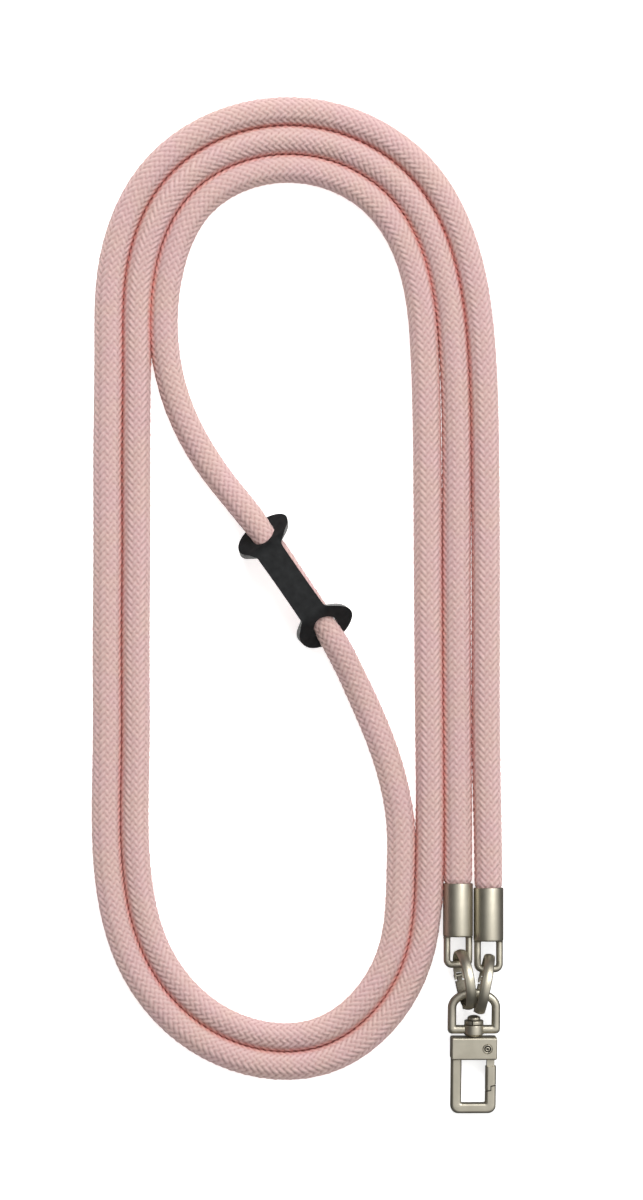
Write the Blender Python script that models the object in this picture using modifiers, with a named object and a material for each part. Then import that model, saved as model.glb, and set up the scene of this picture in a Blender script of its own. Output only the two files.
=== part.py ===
"""Phone crossbody strap: a braided cord in two loops, capped ends, two rings, a D-ring and a swivel hook."""

import math

import bmesh
import bpy
import numpy as np

mm = 0.001

# General clearances
gap = 0.3 * mm  # between neighbouring pieces
running_clearance = 0.08 * mm  # radial, round a pin

# Cord
cord_diameter = 8.0 * mm
cord_grip_diameter = 7.0 * mm  # where a ferrule squeezes it
cord_grip_length = 6.0 * mm
cord_mouth_taper = 1.2 * mm  # outside the mouth, where the cord swells to its full thickness
lane_pitch = 8.4 * mm  # between the centres of neighbouring turns

# Ferrules and their soldered loops
ferrule_diameter = 8.7 * mm
ferrule_length = 15.6 * mm
ferrule_bore_depth = 13.0 * mm
ferrule_edge = 0.45 * mm
loop_width = 8.4 * mm
loop_wire = 2.0 * mm
loop_reach = 9.0 * mm  # beyond the ferrule's closed end
loop_corner = 1.4 * mm
loop_root = 0.9 * mm  # depth of the legs in the ferrule's closed end

# Spring-gate rings
ring_diameter = 17.8 * mm
ring_wall = 1.15 * mm
ring_width = 3.0 * mm
ring_edge = 0.35 * mm
ring_slack = 0.55 * mm  # between the band and the loop that holds it
ring_gate_start = math.radians(-68)
ring_gate_end = math.radians(6)

# D-ring and its swivel barrel
d_ring_width = 15.3 * mm
d_ring_length = 13.15 * mm
d_ring_bar = 2.5 * mm
d_ring_arch = 5.5 * mm  # height of the arch above the straight sides
d_ring_corner = 1.3 * mm
d_ring_edge = 0.8 * mm
barrel_diameter = 5.9 * mm
barrel_above = 1.4 * mm  # above and below the centre line of the straight bar
barrel_below = 1.85 * mm
barrel_taper = 0.6 * mm
washer_diameter = 5.6 * mm
washer_thickness = 1.15 * mm
washer_split = 0.5 * mm
washer_gap = 0.15 * mm

# Swivel rivet
rivet_shank_diameter = 2.2 * mm
rivet_head_diameter = 3.8 * mm
rivet_head_height = 1.35 * mm
rivet_head_rim = 0.47 * mm  # straight side below the dome
rivet_shank_in_block = 4.0 * mm

# Hook
hook_width = 13.2 * mm
hook_bar = 3.1 * mm
hook_thickness = 3.0 * mm
hook_corner = 1.9 * mm
hook_edge = 0.5 * mm
hook_opening_length = 12.4 * mm
hook_frame_root = 2.2 * mm  # depth of the frame's arm in the block
block_length = 6.55 * mm
block_thickness = 5.4 * mm
block_overhang = 0.1 * mm  # the block stands this far proud of the frame's sides
block_edge = 0.5 * mm

# Hook gate and its pin
gate_tab_thickness = 1.6 * mm
gate_tab_radius = 1.8 * mm
gate_tab_show = 2.1 * mm  # length of tab seen below the block
gate_pivot_from_edge = 2.75 * mm
gate_pivot_from_top = 3.3 * mm
gate_tab_root = 1.0 * mm  # depth of the tab's neck in the arm
gate_edge = 0.35 * mm
gate_reach = 8.9 * mm  # from the block's underside to the tip
gate_step = 1.5 * mm  # height of the stepped joint
pin_diameter = 1.6 * mm
pin_head_diameter = 2.6 * mm
pin_head_thickness = 0.45 * mm
pin_dimple_diameter = 1.0 * mm
pin_dimple_depth = 0.25 * mm

# Slider strip
strip_thickness = 1.3 * mm
strip_width = 9.6 * mm
lobe_diameter = 17.4 * mm
lobe_spacing = 37.4 * mm  # between hole centres, measured along the strip
hole_across = 9.4 * mm
hole_along = 12.0 * mm
lobe_fillet = 1.2 * mm
upper_lobe_tilt = math.radians(66)
lower_lobe_tilt = math.radians(60)
upper_bend_radius = 2.2 * mm
lower_bend_radius = 3.6 * mm
bend_from_middle = 13.48 * mm  # along the strip, to where a lobe starts to slope
strip_slope = math.radians(-0.4)
strip_bow = 1.8 * mm

# Places, seen from above
left_ferrule_x, left_mouth_y = 25.2 * mm, -20.2 * mm
right_ferrule_x, right_mouth_y = 34.1 * mm, -21.5 * mm
left_ring_x, left_ring_yaw, left_ring_lean = 26.7 * mm, math.radians(9.6), math.radians(5)
right_ring_x, right_ring_yaw, right_ring_lean = 32.5 * mm, math.radians(-10.6), math.radians(-2)
d_ring_x, d_ring_y = 29.8 * mm, -62.6 * mm
hook_incline = math.radians(7)
slider_x, slider_y, slider_heading = -22.3 * mm, 68.5 * mm, math.radians(-55)

# Heights that follow from what lies on the floor
cord_z = cord_diameter / 2
ferrule_z = ferrule_diameter / 2
hook_end = barrel_below + gap + block_length + hook_opening_length + hook_bar
d_ring_z = hook_end * math.sin(hook_incline) + hook_thickness / 2 * math.cos(hook_incline)

# Cord route: the bends hold angle in degrees and radius in mm, of the middle of the nested turns
top_bend_centre = (-23.3, 157.7)
top_bend = [(0, 43.9), (36, 39.8), (72, 37.8), (108, 38.2), (144, 40.8), (180, 44.4)]
bottom_bend_centre = (-30.0, -16.3)
bottom_bend = [(180, 42.3), (216, 44.0), (252, 49.6), (288, 53.3), (324, 47.7), (360, 42.7)]
# Straight sides: y, then x of each turn, in mm
left_side = [(120.0, -76.5, -68.1), (45.0, -76.8, -68.3)]
right_side = [(134.5, 32.0, 23.8, 15.4), (95.0, 33.2, 24.8, 16.3), (30.0, 33.7, 24.9, 16.6)]
# From the top bend through the slider to the bottom bend: x, y and height in mm
slider_run = [
    (-60.3, 143.0, 4.0),
    (-56.7, 120.0, 4.0),
    (-43.9, 96.8, 4.8),
    (-36.2, 87.0, 7.2),
    (-31.5, 80.5, 8.6),
    (-23.4, 68.4, 8.8),
    (-13.9, 55.5, 8.2),
    (-9.7, 48.6, 7.0),
    (-5.0, 38.6, 4.8),
    (4.6, 15.6, 4.0),
    (8.6, -6.0, 4.0),
]


def material(name, colour, roughness, metallic):
    made = bpy.data.materials.new(name)
    made.use_nodes = True
    shader = made.node_tree.nodes["Principled BSDF"]
    shader.inputs["Base Color"].default_value = (*colour, 1)
    shader.inputs["Roughness"].default_value = roughness
    shader.inputs["Metallic"].default_value = metallic
    return made


def add_object(name, data, collection, parent=None, finish=None):
    made = bpy.data.objects.new(name, data)
    collection.objects.link(made)
    made.parent = parent
    if finish:
        data.materials.append(finish)
    return made


def add_empty(name, collection, location, rotation=(0, 0, 0), parent=None):
    made = add_object(name, None, collection, parent)
    made.location = location
    made.rotation_euler = rotation
    return made


def helper(made):
    """Marks a cutter, or a piece that is joined to another."""
    made.hide_render = True
    made.display_type = "WIRE"
    return made


def boolean(target, other, operation="DIFFERENCE"):
    cut = target.modifiers.new(operation.lower() + "_" + other.name, "BOOLEAN")
    cut.operation = operation
    cut.object = other


def bevel(target, width, segments=2):
    made = target.modifiers.new("rounded_edges", "BEVEL")
    made.width = width
    made.segments = segments
    made.limit_method = "ANGLE"
    made.angle_limit = math.radians(50)


def smooth_shaded(mesh):
    mesh.shade_smooth()
    mesh.set_sharp_from_angle(angle=math.radians(40))


def turned(name, profile, collection, steps=24, parent=None, finish=None):
    """A solid turned about its Z axis from (radius, height) points, run down its outer side."""
    mesh = bpy.data.meshes.new(name)
    mesh.from_pydata(
        [(radius, 0, height) for radius, height in profile],
        [(i, i + 1) for i in range(len(profile) - 1)],
        [],
    )
    made = add_object(name, mesh, collection, parent, finish)
    screw = made.modifiers.new("turned", "SCREW")
    screw.steps = screw.render_steps = steps
    screw.use_merge_vertices = True
    screw.merge_threshold = 0.00001
    screw.use_smooth_shade = True
    return made


def cylinder_profile(radius, low, high):
    return [(0, high), (radius, high), (radius, low), (0, low)]


def mesh_of_curve(curve_object, collection, parent=None, finish=None):
    """The curve as a closed mesh object with the same name and place."""
    bpy.context.view_layer.update()
    graph = bpy.context.evaluated_depsgraph_get()
    mesh = bpy.data.meshes.new_from_object(curve_object.evaluated_get(graph))
    name, place = curve_object.name, curve_object.matrix_world.copy()
    bpy.data.objects.remove(curve_object)
    solid = bmesh.new()
    solid.from_mesh(mesh)
    bmesh.ops.remove_doubles(solid, verts=solid.verts, dist=0.000001)
    bmesh.ops.recalc_face_normals(solid, faces=solid.faces)
    solid.to_mesh(mesh)
    solid.free()
    made = add_object(name, mesh, collection, parent, finish)
    made.matrix_basis = place
    return made


def tube_curve(name, points, diameter, collection, radii=None, sides=2, finish=None):
    curve = bpy.data.curves.new(name, "CURVE")
    curve.dimensions = "3D"
    curve.bevel_depth = diameter / 2
    curve.bevel_resolution = sides
    curve.use_fill_caps = True
    spline = curve.splines.new("POLY")
    spline.points.add(len(points) - 1)
    for i, point in enumerate(points):
        spline.points[i].co = (*point, 1)
        spline.points[i].radius = radii[i] if radii else 1
    return add_object(name, curve, collection, None, finish)


def plate(name, outlines, thickness, collection, parent=None, finish=None):
    """A flat solid from closed 2D outlines; an outline inside another is a hole."""
    curve = bpy.data.curves.new(name, "CURVE")
    curve.dimensions = "2D"
    curve.fill_mode = "BOTH"
    curve.extrude = thickness / 2
    for outline in outlines:
        spline = curve.splines.new("POLY")
        spline.points.add(len(outline) - 1)
        spline.use_cyclic_u = True
        for i, (x, y) in enumerate(outline):
            spline.points[i].co = (x, y, 0, 1)
    return mesh_of_curve(add_object(name, curve, collection), collection, parent, finish)


def arc(centre, radii, start, end, steps):
    """Points on a circle or ellipse from one angle to another, in degrees."""
    angles = np.radians(np.linspace(start, end, steps + 1))
    return [(centre[0] + radii[0] * math.cos(a), centre[1] + radii[1] * math.sin(a)) for a in angles]


def smooth_through(points, cuts):
    """Points on the natural cubic curve through the given ones, with cuts[i] pieces after point i."""
    points = np.array(points)
    steps = np.linalg.norm(np.diff(points, axis=0), axis=1)
    count = len(points)
    system = np.zeros((count, count))
    right = np.zeros((count, points.shape[1]))
    system[0, 0] = system[-1, -1] = 1
    for i in range(1, count - 1):
        system[i, i - 1 : i + 2] = steps[i - 1], 2 * (steps[i - 1] + steps[i]), steps[i]
        right[i] = 6 * (
            (points[i + 1] - points[i]) / steps[i] - (points[i] - points[i - 1]) / steps[i - 1]
        )
    bends = np.linalg.solve(system, right)
    found = []
    for i, step in enumerate(steps):
        for b in np.arange(cuts[i]) / cuts[i]:
            a = 1 - b
            pull = (a**3 - a) * bends[i] + (b**3 - b) * bends[i + 1]
            found.append(a * points[i] + b * points[i + 1] + pull * step**2 / 6)
    return found + [points[-1]]


def bend_points(bend, centre, offset):
    """One turn of a bend, offset in mm from the middle of the nest, at the height of the lying cord."""
    turned_points = []
    for degrees, radius in bend:
        angle, reach = math.radians(degrees), radius * mm + offset
        x = centre[0] * mm + reach * math.cos(angle)
        y = centre[1] * mm + reach * math.sin(angle)
        turned_points.append((x, y, cord_z))
    return turned_points


def side_points(side, turn):
    return [(row[turn] * mm, row[0] * mm, cord_z) for row in side]


def end_points(ferrule_x, mouth_y):
    """From the cord's end in its ferrule to just outside the mouth."""
    levels = (mouth_y - cord_grip_length, mouth_y - gap, mouth_y + cord_mouth_taper)
    return [(ferrule_x, y, ferrule_z) for y in levels]


def cord_route():
    """Route points of the cord, and how many pieces the stretch after each is read in."""
    inner, middle, outer = -lane_pitch, 0, lane_pitch
    run = [(x * mm, y * mm, z * mm) for x, y, z in slider_run]
    stretches = [
        (end_points(right_ferrule_x, right_mouth_y), 1),
        (side_points(right_side, 1)[::-1], 1),
        (bend_points(top_bend, top_bend_centre, outer), 2),
        (side_points(left_side, 1), 1),
        (bend_points(bottom_bend, bottom_bend_centre, lane_pitch / 2), 2),
        (side_points(right_side, 3)[::-1], 1),
        (bend_points(top_bend, top_bend_centre, inner), 2),
        (run, 1),
        (bend_points(bottom_bend, bottom_bend_centre, -lane_pitch / 2)[::-1], 2),
        (side_points(left_side, 2)[::-1], 1),
        (bend_points(top_bend, top_bend_centre, middle)[::-1], 2),
        (side_points(right_side, 2), 1),
        (end_points(left_ferrule_x, left_mouth_y)[::-1], 1),
    ]
    points, cuts = [], []
    for stretch, pieces in stretches:
        points += stretch
        cuts += [pieces] * (len(stretch) - 1) + [1]
    return points, cuts


def build_cord(parts, finish):
    along = smooth_through(*cord_route())
    # The two points inside each ferrule are squeezed.
    squeezed = [cord_grip_diameter / cord_diameter] * 2
    radii = squeezed + [1] * (len(along) - 4) + squeezed
    curve = tube_curve("cord", along, cord_diameter, parts, radii, sides=4, finish=finish)
    curve.data.twist_mode = "Z_UP"


def build_ferrule(name, x, mouth_y, parts, cutters, finish):
    outer, bore = ferrule_diameter / 2, cord_grip_diameter / 2 + gap
    floor, end = -ferrule_bore_depth, -ferrule_length
    cap = turned(
        name,
        [
            (0, floor),
            (bore, floor),
            (bore, 0),
            (outer - ferrule_edge / 2, 0),
            (outer, -ferrule_edge / 2),
            (outer, end + ferrule_edge),
            (outer - ferrule_edge, end),
            (0, end),
        ],
        parts,
        steps=32,
        finish=finish,
    )
    leg = loop_width / 2 - loop_wire / 2
    low = end - loop_reach + loop_wire / 2
    corner = leg - loop_corner
    path = [(leg, end + loop_root)]
    path += arc((corner, low + loop_corner), (loop_corner, loop_corner), 0, -90, 5)
    path += arc((-corner, low + loop_corner), (loop_corner, loop_corner), 270, 180, 5)
    path += [(-leg, end + loop_root)]
    wire = tube_curve(name + "_loop", [(px, 0, pz) for px, pz in path], loop_wire, cutters, sides=3)
    loop = helper(mesh_of_curve(wire, cutters))
    boolean(cap, loop, "UNION")
    for piece in (cap, loop):
        piece.location = (x, mouth_y, ferrule_z)
        piece.rotation_euler = (math.radians(-90), 0, 0)


def ring_centre(ferrule_mouth_y):
    """Y of a standing ring whose band hangs on the bar of the ferrule's loop."""
    bar_y = ferrule_mouth_y - ferrule_length - loop_reach + loop_wire / 2
    rise = ring_diameter / 2 - ferrule_z
    reach = ring_diameter / 2 - ring_wall - ring_slack - loop_wire / 2
    return bar_y - math.sqrt(reach**2 - rise**2)


def sector(name, start, end, cutters):
    """A wedge wider and taller than the ring's band, between two angles about Z."""
    mesh = bpy.data.meshes.new(name)
    solid = bmesh.new()
    reach, half = ring_diameter, ring_width
    corners = [(0, 0)] + arc((0, 0), (reach, reach), math.degrees(start), math.degrees(end), 3)
    base = solid.faces.new([solid.verts.new((x, y, -half)) for x, y in corners])
    lifted = bmesh.ops.extrude_face_region(solid, geom=[base])
    top = [v for v in lifted["geom"] if isinstance(v, bmesh.types.BMVert)]
    bmesh.ops.translate(solid, verts=top, vec=(0, 0, 2 * half))
    bmesh.ops.recalc_face_normals(solid, faces=solid.faces)
    solid.to_mesh(mesh)
    solid.free()
    return helper(add_object(name, mesh, cutters))


def band_profile():
    outer, inner = ring_diameter / 2, ring_diameter / 2 - ring_wall
    half, edge = ring_width / 2, ring_edge
    return [
        (inner + edge, half),
        (outer - edge, half),
        (outer, half - edge),
        (outer, edge - half),
        (outer - edge, -half),
        (inner + edge, -half),
        (inner, edge - half),
        (inner, half - edge),
        (inner + edge, half),
    ]


def build_ring(name, x, mouth_y, yaw, lean, parts, cutters, finish):
    """A flat-band ring standing on the floor, with a gate in its lower half."""
    slit = gap / (ring_diameter / 2)
    window = sector(name + "_window", ring_gate_start, ring_gate_end, cutters)
    inside = sector(name + "_gate_form", ring_gate_start + slit, ring_gate_end - slit, cutters)
    ring = turned(name, band_profile(), parts, steps=36, finish=finish)
    gate = turned(name + "_gate", band_profile(), parts, steps=36, finish=finish)
    boolean(ring, window)
    boolean(gate, inside, "INTERSECT")
    z = ring_diameter / 2 * math.cos(lean) + ring_width / 2 * abs(math.sin(lean))
    for piece in (ring, gate, window, inside):
        piece.location = (x, ring_centre(mouth_y), z)
        piece.rotation_euler = (0, math.radians(90) + lean, yaw)


def build_d_ring(assembly, parts, cutters, finish):
    half, bar = d_ring_width / 2, d_ring_bar
    low, side = -bar / 2, d_ring_length - bar / 2 - d_ring_arch
    corner = d_ring_corner
    outer = arc((0, side), (half, d_ring_arch), 0, 180, 20)
    outer += arc((corner - half, low + corner), (corner, corner), 180, 270, 3)
    outer += arc((half - corner, low + corner), (corner, corner), 270, 360, 3)
    inner_half, inner_arch = half - bar, d_ring_arch - bar
    inner = arc((0, side), (inner_half, inner_arch), 0, 180, 16)
    inner += [(-inner_half, bar / 2), (inner_half, bar / 2)]
    ring = plate("d_ring", [outer, inner], bar, parts, assembly, finish)
    bevel(ring, d_ring_edge, segments=3)
    radius = barrel_diameter / 2
    profile = [
        (0, barrel_above),
        (radius - barrel_taper / 3, barrel_above),
        (radius, barrel_above - barrel_taper / 3),
        (radius, barrel_taper - barrel_below),
        (radius - barrel_taper, -barrel_below),
        (0, -barrel_below),
    ]
    barrel = helper(turned("d_ring_barrel", profile, cutters, steps=28, parent=assembly))
    bore_radius = rivet_shank_diameter / 2 + running_clearance
    bore_profile = cylinder_profile(bore_radius, -2 * barrel_below, 2 * barrel_above)
    bore = helper(turned("d_ring_bore", bore_profile, cutters, parent=assembly))
    for piece in (barrel, bore):
        piece.rotation_euler = (math.radians(-90), 0, 0)
    boolean(ring, barrel, "UNION")
    boolean(ring, bore)


def build_washer(assembly, parts, cutters, finish):
    low = barrel_above + washer_gap
    high = low + washer_thickness
    outer, inner = washer_diameter / 2, rivet_shank_diameter / 2 + running_clearance
    edge = washer_thickness / 5
    profile = [
        (inner, high),
        (outer - edge, high),
        (outer, high - edge),
        (outer, low + edge),
        (outer - edge, low),
        (inner, low),
        (inner, high),
    ]
    washer = turned("swivel_washer", profile, parts, parent=assembly, finish=finish)
    washer.rotation_euler = (math.radians(-90), 0, 0)
    slot_low = (-washer_split / 2, low - gap, inner / 2)
    slot_high = (washer_split / 2, high + gap, outer + gap)
    boolean(washer, helper(box("washer_slot", slot_low, slot_high, cutters, assembly)))


def build_swivel_rivet(assembly, parts, finish):
    base = barrel_above + washer_thickness + 2 * washer_gap
    head, shank = rivet_head_diameter / 2, rivet_shank_diameter / 2
    crown = rivet_head_height - rivet_head_rim
    dome = arc((0, base + rivet_head_rim), (head, crown), 90, 0, 5)
    end = -(barrel_below + gap + rivet_shank_in_block)
    profile = dome + [(head, base), (shank, base), (shank, end), (0, end)]
    rivet = turned("swivel_rivet", profile, parts, parent=assembly, finish=finish)
    rivet.rotation_euler = (math.radians(-90), 0, 0)


def hook_levels():
    """Y of the block's top and underside and of the hook's end, in the hook's own frame."""
    top = -(barrel_below + gap)
    return top, top - block_length, -hook_end


def gate_pivot():
    top, _, _ = hook_levels()
    return hook_width / 2 - gate_pivot_from_edge, top - gate_pivot_from_top


def joint_line(shift):
    """The stepped joint between gate and frame, from the outer side inwards."""
    _, under, _ = hook_levels()
    tip, outer, inner = under - gate_reach, hook_width / 2, hook_width / 2 - hook_bar
    middle = (outer + inner) / 2
    steps = [(outer, 1.3), (middle, 1.0), (middle, 0.2), (inner, 0.0)]
    return [
        (x + (shift if abs(x - middle) < gap else 0), tip + share * gate_step - shift)
        for x, share in steps
    ]


def box(name, low, high, collection, parent):
    mesh = bpy.data.meshes.new(name)
    solid = bmesh.new()
    bmesh.ops.create_cube(solid, size=1)
    for vertex in solid.verts:
        for i in range(3):
            vertex.co[i] = low[i] if vertex.co[i] < 0 else high[i]
    solid.to_mesh(mesh)
    solid.free()
    return add_object(name, mesh, collection, parent)


def build_hook(assembly, parts, cutters, finish):
    top, under, end = hook_levels()
    half, corner = hook_width / 2, hook_corner
    inner = half - hook_bar
    root = under + hook_frame_root
    outline = [(-inner, root), (-half, root)]
    outline += arc((corner - half, end + corner), (corner, corner), 180, 270, 5)
    outline += arc((half - corner, end + corner), (corner, corner), 270, 360, 5)
    outline += joint_line(gap / 2)
    outline += [(inner, end + hook_bar), (-inner, end + hook_bar)]
    frame = helper(plate("hook_frame", [outline], hook_thickness, cutters, assembly))
    bevel(frame, hook_edge)
    side, depth = half + block_overhang, block_thickness / 2
    block = box("hook_body", (-side, under, -depth), (side, top, depth), parts, assembly)
    block.data.materials.append(finish)
    bevel(block, block_edge)
    boolean(block, frame, "UNION")
    pivot_x, pivot_y = gate_pivot()
    slot_half = gate_tab_thickness / 2 + gap
    slot_low = (pivot_x - gate_tab_radius - gap, under - gap, -slot_half)
    slot_high = (side + gap, pivot_y + gate_tab_radius + gap, slot_half)
    slot = helper(box("gate_slot", slot_low, slot_high, cutters, assembly))
    shank = rivet_shank_diameter / 2 + running_clearance
    bore_end = top - rivet_shank_in_block - gap
    bore = helper(
        turned("swivel_bore", cylinder_profile(shank, bore_end, gap), cutters, parent=assembly)
    )
    bore.rotation_euler = (math.radians(-90), 0, 0)
    pin, head = pin_diameter / 2, pin_head_diameter / 2
    seat = depth - pin_head_thickness
    hole = helper(
        turned(
            "pin_hole",
            [
                (0, 2 * depth),
                (head + running_clearance, 2 * depth),
                (head + running_clearance, seat - running_clearance),
                (pin + running_clearance, seat - running_clearance),
                (pin + running_clearance, -2 * depth),
                (0, -2 * depth),
            ],
            cutters,
            parent=assembly,
        )
    )
    hole.location = (pivot_x, pivot_y, 0)
    for cutter in (slot, bore, hole):
        boolean(block, cutter)
    rivet = turned(
        "gate_rivet",
        [
            (0, depth - pin_dimple_depth),
            (pin_dimple_diameter / 2, depth - pin_dimple_depth),
            (pin_dimple_diameter / 2, depth),
            (head, depth),
            (head, seat),
            (pin, seat),
            (pin, -depth),
            (0, -depth),
        ],
        parts,
        parent=assembly,
        finish=finish,
    )
    rivet.location = (pivot_x, pivot_y, 0)


def build_gate(assembly, parts, cutters, finish):
    _, under, _ = hook_levels()
    pivot_x, pivot_y = gate_pivot()
    outer, inner = hook_width / 2, hook_width / 2 - hook_bar
    shoulder = under - gate_tab_show
    outline = [(inner, shoulder), *joint_line(-gap / 2)[::-1], (outer, shoulder)]
    arm_outline = [(x - pivot_x, y - pivot_y) for x, y in outline]
    axis = add_empty("gate_axis", parts, (pivot_x, pivot_y, 0), parent=assembly)
    arm = plate("hook_gate", [arm_outline], hook_thickness, parts, axis, finish)
    bevel(arm, gate_edge)
    # The tab is a round ear over the pin, with a neck that sinks into the arm.
    left, right = inner - pivot_x + gap, outer - hook_edge - pivot_x
    root, neck = shoulder - pivot_y - gate_tab_root, under - pivot_y
    tab_outline = arc((0, 0), (gate_tab_radius, gate_tab_radius), 0, 180, 10)
    tab_outline += [(left, neck), (left, root), (right, root), (right, neck)]
    tab = helper(plate("gate_tab", [tab_outline], gate_tab_thickness, cutters, axis))
    pin = pin_diameter / 2 + running_clearance
    hole_profile = cylinder_profile(pin, -hook_thickness, hook_thickness)
    hole = helper(turned("gate_hole", hole_profile, cutters, parent=axis))
    boolean(arm, tab, "UNION")
    boolean(arm, hole)


def strip_tilt(s):
    """Slope of the strip at a distance along it: up over one lobe, along the cord, down the other."""
    up, down = upper_lobe_tilt, -lower_lobe_tilt
    upper_start = -bend_from_middle
    upper_end = upper_start + upper_bend_radius * (up - strip_slope)
    lower_end = bend_from_middle
    lower_start = lower_end - lower_bend_radius * (strip_slope - down)
    ends = [upper_start, upper_end, lower_start, lower_end]
    return float(np.interp(s, ends, [up, strip_slope, strip_slope, down]))


def strip_outline():
    """Dog-bone outline of the flat strip, lengthwise along X."""
    centre, radius, half = lobe_spacing / 2, lobe_diameter / 2, strip_width / 2
    # A fillet circle touches the body's edge and the lobe.
    fillet_y = half + lobe_fillet
    fillet_x = centre - math.sqrt((radius + lobe_fillet) ** 2 - fillet_y**2)
    meet = math.degrees(math.atan2(fillet_y, fillet_x - centre))
    right = arc((fillet_x, -fillet_y), (lobe_fillet, lobe_fillet), 90, 180 - meet, 3)
    right += arc((centre, 0), (radius, radius), -meet, meet, 20)
    right += arc((fillet_x, fillet_y), (lobe_fillet, lobe_fillet), meet - 180, -90, 3)
    return right + [(-x, -y) for x, y in right]


def build_slider(parts, finish):
    holes = [
        arc((side * lobe_spacing / 2, 0), (hole_along / 2, hole_across / 2), 0, 360, 20)[:-1]
        for side in (-1, 1)
    ]
    strip = plate("slider", [strip_outline(), *holes], strip_thickness, parts, None, finish)
    reach = lobe_spacing / 2 + lobe_diameter / 2
    solid = bmesh.new()
    solid.from_mesh(strip.data)
    for s in np.arange(-reach + strip_thickness, reach, 1.6 * strip_thickness):
        every = solid.verts[:] + solid.edges[:] + solid.faces[:]
        bmesh.ops.bisect_plane(solid, geom=every, plane_co=(s, 0, 0), plane_no=(1, 0, 0), dist=1e-7)
    stations, step = np.linspace(-reach, reach, 400, retstep=True)
    tilts = np.array([strip_tilt(s) for s in stations])
    along = np.cumsum(np.cos(tilts)) * step
    rise = np.cumsum(np.sin(tilts)) * step
    along -= np.interp(0, stations, along)
    for vertex in solid.verts:
        s, across, height = vertex.co
        tilt = strip_tilt(s)
        t = float(np.interp(s, stations, along)) - height * math.sin(tilt)
        z = float(np.interp(s, stations, rise)) + height * math.cos(tilt)
        bow = strip_bow * (1 - (2 * t / lobe_spacing) ** 2)
        vertex.co = (t, across - bow, z)
    lowest = min(vertex.co.z for vertex in solid.verts)
    for vertex in solid.verts:
        vertex.co.z -= lowest
    solid.to_mesh(strip.data)
    solid.free()
    strip.location = (slider_x, slider_y, 0)
    strip.rotation_euler = (0, 0, slider_heading)
    smooth_shaded(strip.data)


def main():
    for existing in list(bpy.data.objects):
        bpy.data.objects.remove(existing)
    scene = bpy.context.scene
    parts = bpy.data.collections.new("phone_crossbody_strap")
    cutters = bpy.data.collections.new("cutters")
    for collection in (parts, cutters):
        scene.collection.children.link(collection)
    pink = material("pink_braided_polyester", (0.78, 0.50, 0.46), 0.85, 0)
    nickel = material("satin_nickel_zinc", (0.52, 0.49, 0.44), 0.38, 1)
    black = material("black_leather", (0.022, 0.024, 0.025), 0.7, 0)

    build_cord(parts, pink)
    build_ferrule("ferrule_left", left_ferrule_x, left_mouth_y, parts, cutters, nickel)
    build_ferrule("ferrule_right", right_ferrule_x, right_mouth_y, parts, cutters, nickel)
    rings = (
        ("ring_left", left_ring_x, left_mouth_y, left_ring_yaw, left_ring_lean),
        ("ring_right", right_ring_x, right_mouth_y, right_ring_yaw, right_ring_lean),
    )
    for name, x, mouth_y, yaw, lean in rings:
        build_ring(name, x, mouth_y, yaw, lean, parts, cutters, nickel)
    place = (d_ring_x, d_ring_y, d_ring_z)
    assembly = add_empty("hook_assembly", parts, place, (hook_incline, 0, 0))
    build_d_ring(assembly, parts, cutters, nickel)
    build_washer(assembly, parts, cutters, nickel)
    build_swivel_rivet(assembly, parts, nickel)
    build_hook(assembly, parts, cutters, nickel)
    build_gate(assembly, parts, cutters, nickel)
    build_slider(parts, black)


main()
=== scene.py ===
import math

import bmesh
import bpy
import numpy as np
from mathutils import Euler, Matrix, Vector


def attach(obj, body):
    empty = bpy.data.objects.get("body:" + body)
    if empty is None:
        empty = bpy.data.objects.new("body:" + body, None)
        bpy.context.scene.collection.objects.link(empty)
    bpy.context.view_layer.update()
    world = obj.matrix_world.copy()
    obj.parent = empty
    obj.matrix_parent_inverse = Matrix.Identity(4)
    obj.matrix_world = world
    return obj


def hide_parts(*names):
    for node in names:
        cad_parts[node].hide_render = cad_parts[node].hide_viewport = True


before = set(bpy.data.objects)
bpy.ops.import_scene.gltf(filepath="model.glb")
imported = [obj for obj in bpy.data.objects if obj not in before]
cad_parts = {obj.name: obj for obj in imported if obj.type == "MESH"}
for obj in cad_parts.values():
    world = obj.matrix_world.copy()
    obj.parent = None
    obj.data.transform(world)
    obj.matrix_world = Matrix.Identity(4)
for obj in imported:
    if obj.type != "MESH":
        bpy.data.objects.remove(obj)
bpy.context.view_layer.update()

# Phone crossbody strap: the looks of every piece, in metres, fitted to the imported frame

mm = 0.001


# Helpers for materials and meshes

def linearColour(hexCode):
    shares = [int(hexCode[i:i + 2], 16) / 255 for i in (1, 3, 5)]
    return (*[c / 12.92 if c <= 0.04045 else ((c + 0.055) / 1.055) ** 2.4 for c in shares], 1)


def addNode(tree, kind, settings=None, values=None, links=None):
    made = tree.nodes.new("ShaderNode" + kind)
    for name, value in (settings or {}).items():
        setattr(made, name, value)
    for name, value in (values or {}).items():
        made.inputs[name].default_value = value
    for name, (source, output) in (links or {}).items():
        tree.links.new(source.outputs[output], made.inputs[name])
    return made


def startMaterial(name):
    made = bpy.data.materials.new(name)
    made.use_nodes = True
    return made, made.node_tree, made.node_tree.nodes["Principled BSDF"]


def multiply(tree, first, second):  # product of the colours of two nodes
    links = {"Color1": (first, "Color"), "Color2": (second, "Color")}
    return addNode(tree, "MixRGB", {"blend_type": "MULTIPLY"}, {"Fac": 1}, links)


def noiseOver(tree, size, detail):  # noise in the piece's own space, with features of a real size
    place = addNode(tree, "TexCoord")
    links = {"Vector": (place, "Object")}
    return addNode(tree, "TexNoise", values={"Scale": 1 / size, "Detail": detail}, links=links)


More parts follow.
